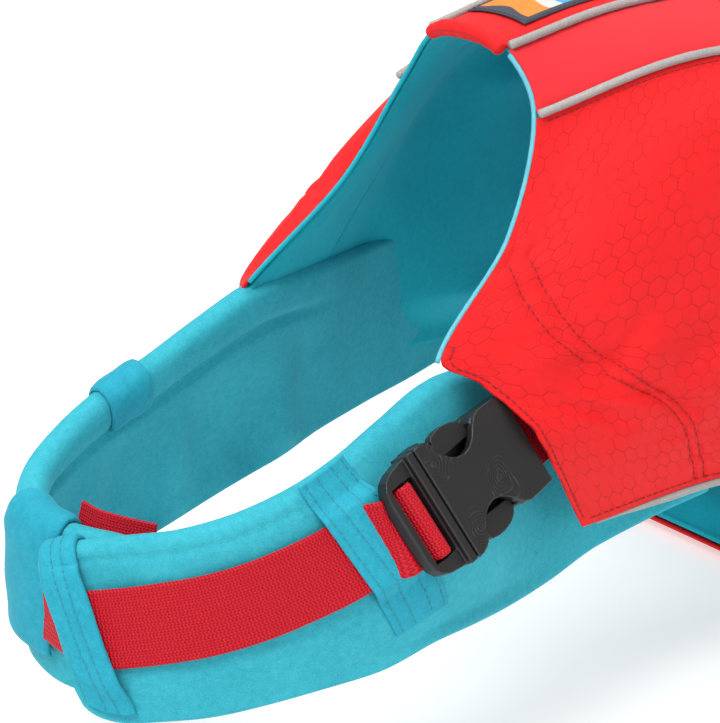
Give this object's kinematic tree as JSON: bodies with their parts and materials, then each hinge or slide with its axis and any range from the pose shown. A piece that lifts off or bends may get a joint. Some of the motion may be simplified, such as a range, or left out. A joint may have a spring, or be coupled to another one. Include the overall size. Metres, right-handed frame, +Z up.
{
  "type": "dog life jacket",
  "caption": "Padded dog life jacket with a raised chest band, a belly panel held by webbing straps with side-release buckles, back grab handles and a leash ring.",
  "frame": {"origin": "inside the jacket at the centre of the wearer's chest: on the mid plane, 114.5 mm behind the front end of the spine seam and 115 mm below the back", "axes": "+Z up, -Y the way the wearer faces, +X the wearer's left"},
  "size_m": [0.2002, 0.5344, 0.2726],
  "materials": {
    "red_ripstop": "coated ripstop weave, satin",
    "coral_cloth": "plain weave, matt",
    "foam": "closed-cell foam, matt",
    "pale_binding": "knitted edge tape, matt",
    "reflective_piping": "reflective grey, satin",
    "red_webbing": "ribbed nylon webbing, satin",
    "black_plastic": "moulded, satin",
    "ring_steel": "welded and plated",
    "label": "woven patch with a printed abstract pattern",
    "teal_neoprene": "smooth knit-faced foam, matt"
  },
  "bodies": {
    "jacket": {"left_side_shell": "red_ripstop", "left_yoke_shell": "coral_cloth", "left_side_foam": "foam", "right_side_shell": "red_ripstop", "right_yoke_shell": "coral_cloth", "right_side_foam": "foam", "spine_shell": "red_ripstop", "spine_foam": "foam", "body_lining": "teal_neoprene", "neck_lining": "teal_neoprene", "left_spine_piping": "reflective_piping", "left_yoke_piping": "reflective_piping", "left_hem_piping": "reflective_piping", "left_neck_binding": "pale_binding", "right_spine_piping": "reflective_piping", "right_yoke_piping": "reflective_piping", "right_hem_piping": "reflective_piping", "right_neck_binding": "pale_binding", "collar_roll": "red_ripstop", "spine_label": "label", "chest_band_left": "teal_neoprene", "chest_band_right": "teal_neoprene", "chest_keeper_broad": "teal_neoprene", "chest_keeper_front": "teal_neoprene", "right_keeper_front": "teal_neoprene", "right_keeper_rear": "teal_neoprene", "chest_buckle_socket": "black_plastic", "chest_buckle_socket_tab": "red_webbing", "chest_webbing": "red_webbing", "belly_panel_shell": "red_ripstop", "belly_panel_foam": "foam", "belly_panel_lining": "teal_neoprene", "belly_front_buckle_socket": "black_plastic", "belly_front_buckle_socket_tab": "red_webbing", "belly_front_webbing": "red_webbing", "belly_front_keeper": "teal_neoprene", "belly_rear_buckle_socket": "black_plastic", "belly_rear_buckle_socket_tab": "red_webbing", "belly_rear_webbing": "red_webbing", "belly_rear_keeper": "teal_neoprene", "d_ring_tab": "red_webbing"},
    "chest_buckle_plug_body": {"chest_buckle_plug": "black_plastic"},
    "chest_buckle_arm_a": {"chest_buckle_latch_a": "black_plastic"},
    "chest_buckle_arm_b": {"chest_buckle_latch_b": "black_plastic"},
    "belly_front_buckle_plug_body": {"belly_front_buckle_plug": "black_plastic"},
    "belly_front_buckle_arm_a": {"belly_front_buckle_latch_a": "black_plastic"},
    "belly_front_buckle_arm_b": {"belly_front_buckle_latch_b": "black_plastic"},
    "belly_rear_buckle_plug_body": {"belly_rear_buckle_plug": "black_plastic"},
    "belly_rear_buckle_arm_a": {"belly_rear_buckle_latch_a": "black_plastic"},
    "belly_rear_buckle_arm_b": {"belly_rear_buckle_latch_b": "black_plastic"},
    "front_handle": {"front_handle_grip": "teal_neoprene", "front_handle_webbing": "red_webbing"},
    "rear_handle": {"rear_handle_grip": "teal_neoprene", "rear_handle_webbing": "red_webbing"},
    "leash_ring": {"d_ring": "ring_steel"}
  },
  "joints": [
    {"name": "chest_buckle_release", "type": "slide", "parent": "jacket", "child": "chest_buckle_plug_body", "axis": [0.1817, -0.9652, -0.188], "range_m": [0, 0.03], "deforming": ["chest_webbing", "chest_buckle_latch_a", "chest_buckle_latch_b"]},
    {"name": "chest_buckle_squeeze_a", "type": "hinge", "parent": "chest_buckle_plug_body", "child": "chest_buckle_arm_a", "pos_m": [0.06561, -0.19384, -0.0076], "axis": [-0.8374, -0.0517, -0.5441], "range_deg": [0, 16], "stiffness_Nm_per_rad": 0.05},
    {"name": "chest_buckle_squeeze_b", "type": "hinge", "parent": "chest_buckle_plug_body", "child": "chest_buckle_arm_b", "pos_m": [0.0784, -0.18748, -0.02788], "axis": [0.8374, 0.0517, 0.5441], "range_deg": [0, 16], "stiffness_Nm_per_rad": 0.05},
    {"name": "belly_front_buckle_release", "type": "slide", "parent": "jacket", "child": "belly_front_buckle_plug_body", "axis": [0, 0, -1], "range_m": [0, 0.03], "deforming": ["belly_front_webbing", "belly_front_buckle_latch_a", "belly_front_buckle_latch_b"]},
    {"name": "belly_front_buckle_squeeze_a", "type": "hinge", "parent": "belly_front_buckle_plug_body", "child": "belly_front_buckle_arm_a", "pos_m": [0.1, 0.0376, -0.0642], "axis": [-1, 0, 0], "range_deg": [0, 16], "stiffness_Nm_per_rad": 0.05},
    {"name": "belly_front_buckle_squeeze_b", "type": "hinge", "parent": "belly_front_buckle_plug_body", "child": "belly_front_buckle_arm_b", "pos_m": [0.1, 0.0624, -0.0642], "axis": [1, 0, 0], "range_deg": [0, 16], "stiffness_Nm_per_rad": 0.05},
    {"name": "belly_rear_buckle_release", "type": "slide", "parent": "jacket", "child": "belly_rear_buckle_plug_body", "axis": [0, 0, -1], "range_m": [0, 0.03], "deforming": ["belly_rear_webbing", "belly_rear_buckle_latch_a", "belly_rear_buckle_latch_b"]},
    {"name": "belly_rear_buckle_squeeze_a", "type": "hinge", "parent": "belly_rear_buckle_plug_body", "child": "belly_rear_buckle_arm_a", "pos_m": [0.1, 0.1326, -0.0642], "axis": [-1, 0, 0], "range_deg": [0, 16], "stiffness_Nm_per_rad": 0.05},
    {"name": "belly_rear_buckle_squeeze_b", "type": "hinge", "parent": "belly_rear_buckle_plug_body", "child": "belly_rear_buckle_arm_b", "pos_m": [0.1, 0.1574, -0.0642], "axis": [1, 0, 0], "range_deg": [0, 16], "stiffness_Nm_per_rad": 0.05},
    {"name": "front_handle_swing", "type": "hinge", "parent": "jacket", "child": "front_handle", "pos_m": [0, 0.0185, 0.1155], "axis": [0, 1, 0], "range_deg": [-45, 45], "deforming": ["front_handle_webbing"]},
    {"name": "rear_handle_swing", "type": "hinge", "parent": "jacket", "child": "rear_handle", "pos_m": [0, 0.188, 0.1085], "axis": [0, 1, 0], "range_deg": [-45, 45], "deforming": ["rear_handle_webbing"]},
    {"name": "leash_ring_turn", "type": "hinge", "parent": "jacket", "child": "leash_ring", "pos_m": [0, 0.112, 0.11742], "axis": [1, 0, 0], "range_deg": [0, 150]}
  ],
  "couplings": [
    {"joint": "chest_buckle_squeeze_b", "follows": "chest_buckle_squeeze_a", "ratio": 1},
    {"joint": "belly_front_buckle_squeeze_b", "follows": "belly_front_buckle_squeeze_a", "ratio": 1},
    {"joint": "belly_rear_buckle_squeeze_b", "follows": "belly_rear_buckle_squeeze_a", "ratio": 1}
  ]
}
